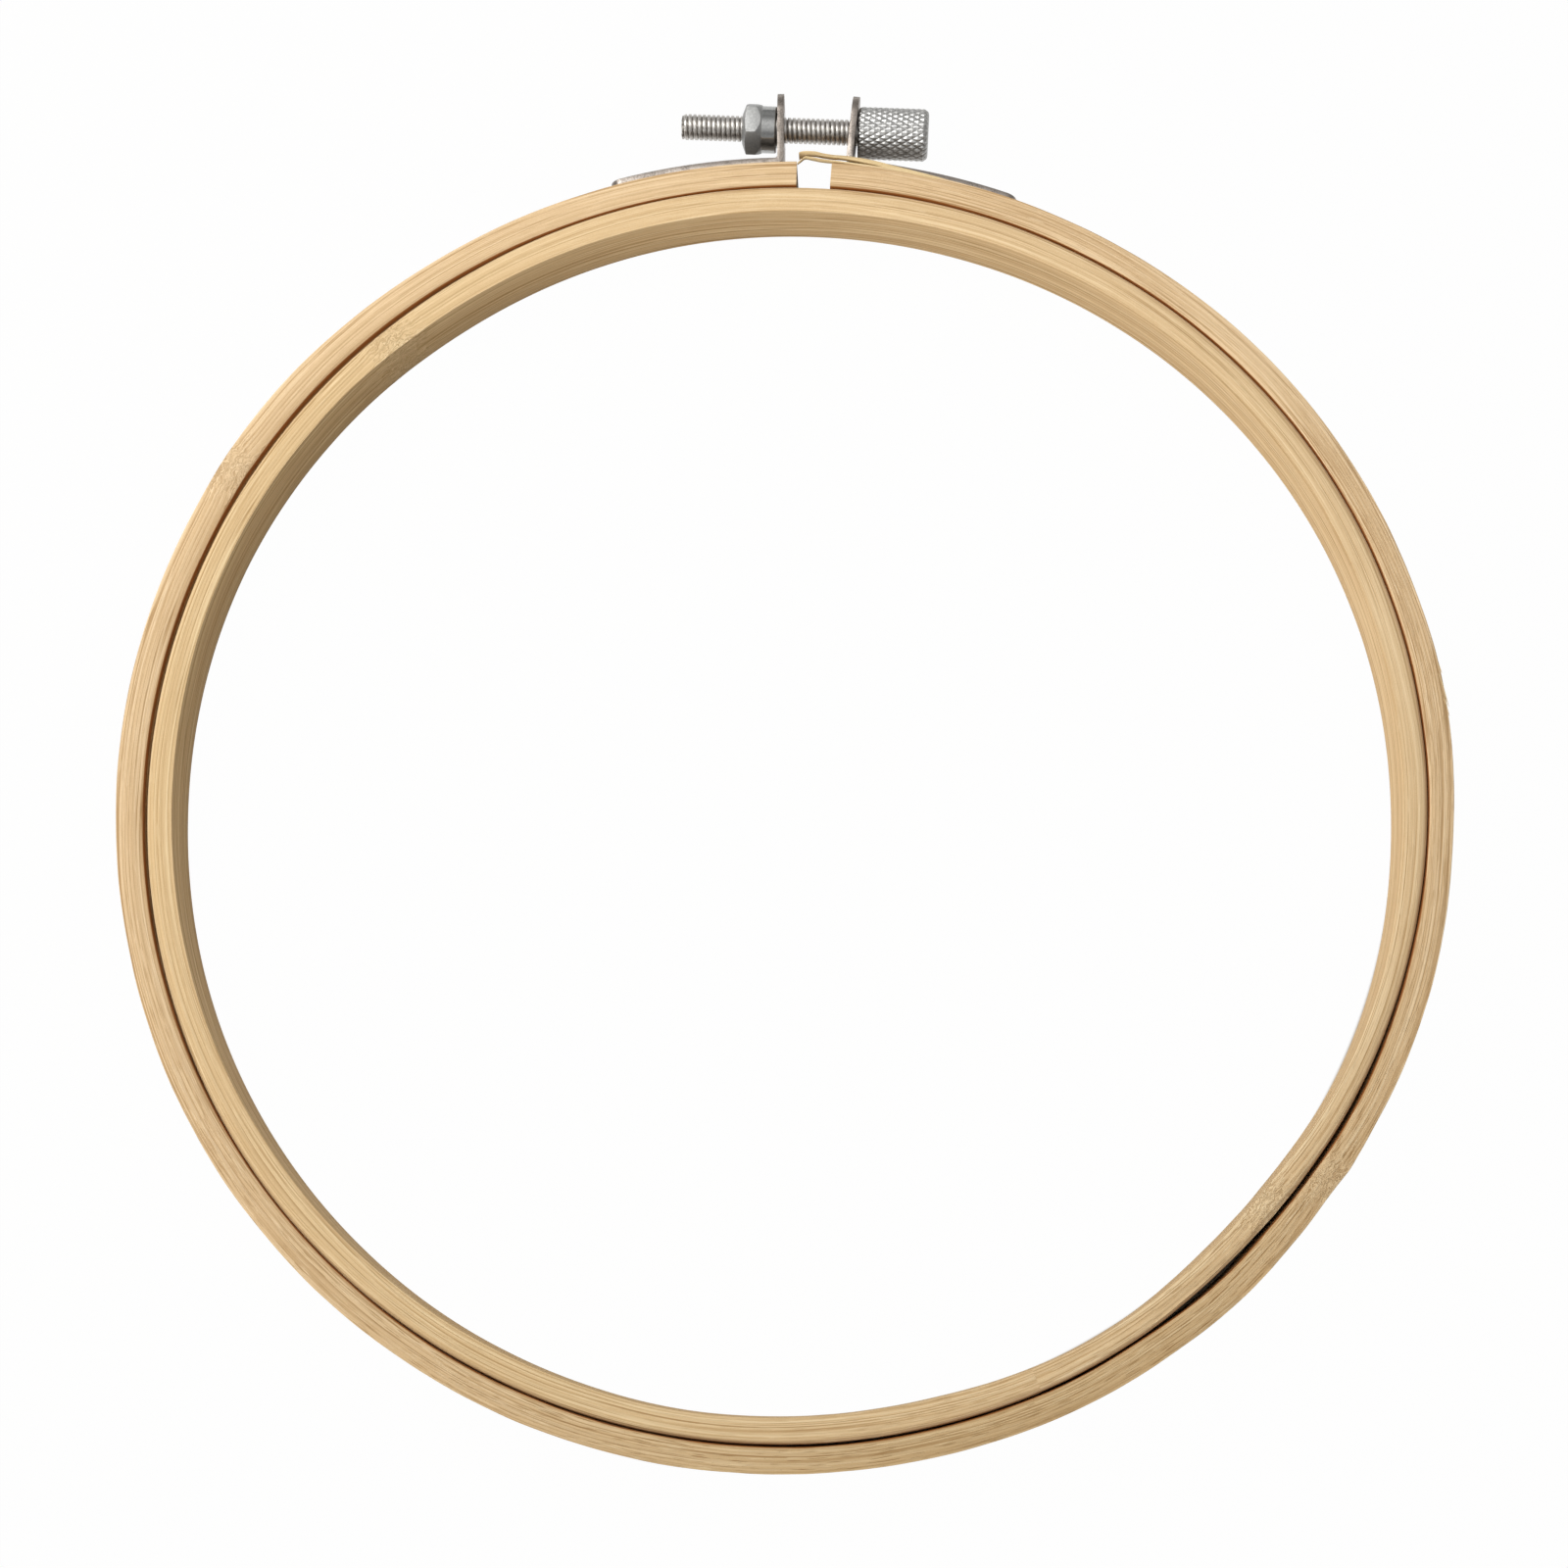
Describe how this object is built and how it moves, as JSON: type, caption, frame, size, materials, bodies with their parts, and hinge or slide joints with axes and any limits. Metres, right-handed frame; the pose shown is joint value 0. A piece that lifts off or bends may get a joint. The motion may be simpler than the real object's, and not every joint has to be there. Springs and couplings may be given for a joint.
{
  "type": "embroidery hoop",
  "caption": "Round bamboo hoop that clamps fabric between a closed inner ring and a split outer ring, drawn together by a knurled screw through bent steel ears.",
  "frame": {"origin": "centre of the hoop, at the middle of the strips' height", "axes": "+Z along the axis of the rings, +Y from the centre towards the split and the clamp, +X along the screw towards the knob"},
  "size_m": [0.185, 0.1973, 0.0092],
  "materials": {
    "bamboo_inner": "sanded bare bamboo, fine grain along the strip",
    "bamboo_outer": "sanded bare bamboo, fine grain along the strip",
    "sheet_steel": "satin plated sheet",
    "rivet_steel": "satin",
    "plated_nut": "bright plated",
    "threaded_steel": "rolled thread, satin",
    "knurled_steel": "diamond knurl"
  },
  "bodies": {
    "clamp_frame": {"outer_ring": "bamboo_outer", "left_bracket": "sheet_steel", "left_rivets": "rivet_steel", "collar_nut": "plated_nut"},
    "free_end": {"right_bracket": "sheet_steel", "right_rivets": "rivet_steel"},
    "screw": {"threaded_rod": "threaded_steel", "knurled_knob": "knurled_steel"},
    "inner_hoop": {"inner_ring": "bamboo_inner"}
  },
  "joints": [
    {"name": "ring_spread", "type": "slide", "parent": "clamp_frame", "child": "free_end", "axis": [1, 0, 0], "range_m": [0, 0.00875], "deforming": ["outer_ring"]},
    {"name": "screw_turn", "type": "hinge", "parent": "free_end", "child": "screw", "pos_m": [0.011, 0.0994, 0], "axis": [1, 0, 0], "range_deg": [0, 4500]},
    {"name": "inner_ring_lift", "type": "slide", "parent": "clamp_frame", "child": "inner_hoop", "axis": [0, 0, 1], "range_m": [0, 0.03]}
  ],
  "couplings": [
    {"joint": "screw_turn", "follows": "ring_spread", "rad_per_m": 8976}
  ]
}
